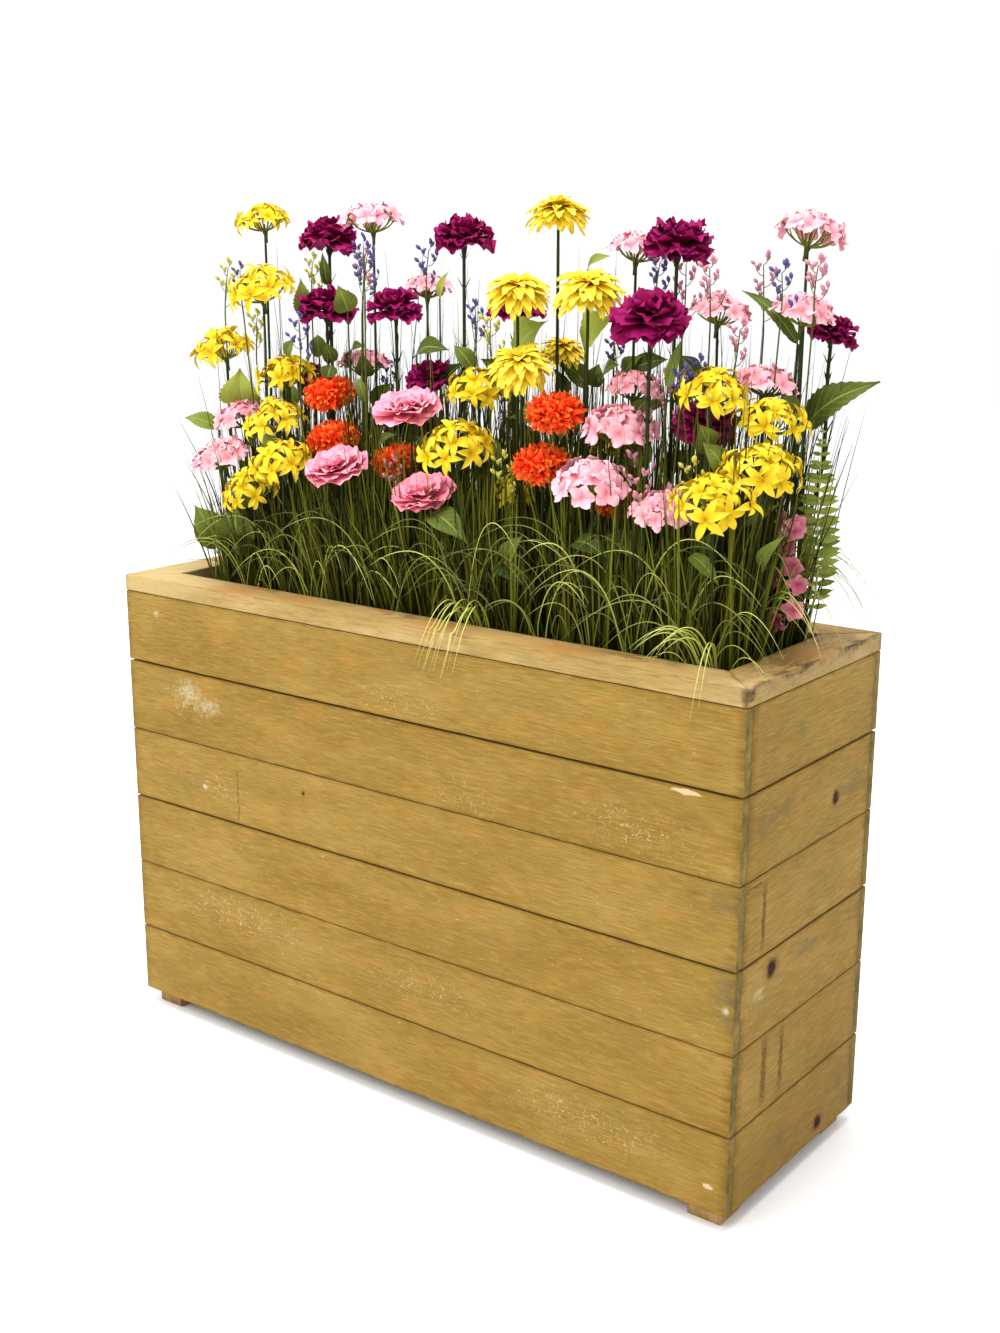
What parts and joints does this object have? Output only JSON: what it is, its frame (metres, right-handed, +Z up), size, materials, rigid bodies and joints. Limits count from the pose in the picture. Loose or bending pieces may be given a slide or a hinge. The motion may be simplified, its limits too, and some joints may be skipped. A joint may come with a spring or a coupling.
{
  "type": "planted window box",
  "caption": "Long timber plank trough on short post feet, filled with soil, grasses and mixed summer flowers.",
  "frame": {"origin": "on the ground under the middle of the box, level with the undersides of the four feet", "axes": "+Z up, +X along the box's length, the front boards face -Y"},
  "size_m": [1.0206, 0.4024, 1.1667],
  "materials": {
    "boards": "yellow-ochre stained reclaimed boards, matt, worn",
    "cap_rails": "paler ochre stained rails, matt, worn edges",
    "posts": "rough sawn stained timber",
    "floor": "plain sheet timber",
    "soil": "dark bark and peat compost",
    "grass": "soft satin grass",
    "leaves": "soft satin leaves and stems",
    "fern": "soft matt frond",
    "lilies": "soft yellow petals",
    "dahlias": "soft yellow petals with orange centres",
    "carnations": "soft magenta petals",
    "florets": "soft pink petals",
    "roses": "soft light pink petals",
    "pompons": "matt orange-red florets",
    "sprigs": "small matt buds"
  },
  "bodies": {
    "root": {"front_board_1": "boards", "front_board_2": "boards", "front_board_3": "boards", "front_board_4": "boards", "front_board_5": "boards", "front_board_6": "boards", "back_board_1": "boards", "back_board_2": "boards", "back_board_3": "boards", "back_board_4": "boards", "back_board_5": "boards", "back_board_6": "boards", "left_board_1": "boards", "left_board_2": "boards", "left_board_3": "boards", "left_board_4": "boards", "left_board_5": "boards", "left_board_6": "boards", "right_board_1": "boards", "right_board_2": "boards", "right_board_3": "boards", "right_board_4": "boards", "right_board_5": "boards", "right_board_6": "boards", "post_front_left": "posts", "post_front_right": "posts", "post_back_left": "posts", "post_back_right": "posts", "cap_front": "cap_rails", "cap_right": "cap_rails", "cap_back": "cap_rails", "cap_left": "cap_rails", "floor_bearer_1": "posts", "floor_bearer_2": "posts", "floor_panel": "floor", "soil": "soil", "florets_left": "florets", "lilies_left": "lilies", "sprigs_left": "sprigs", "pompons_left": "pompons", "roses": "roses", "lilies_middle": "lilies", "pompons_right": "pompons", "florets_middle": "florets", "sprigs_right": "sprigs", "lilies_right": "lilies", "leaves_left": "leaves", "lilies_tall": "lilies", "carnations_left": "carnations", "florets_tall": "florets", "carnations_middle": "carnations", "leaves_middle": "leaves", "dahlias": "dahlias", "carnations_right": "carnations", "leaves_right": "leaves", "florets_right": "florets", "fern_frond": "fern", "grass_front": "grass", "grass_middle": "grass", "grass_back": "grass"}
  },
  "joints": []
}
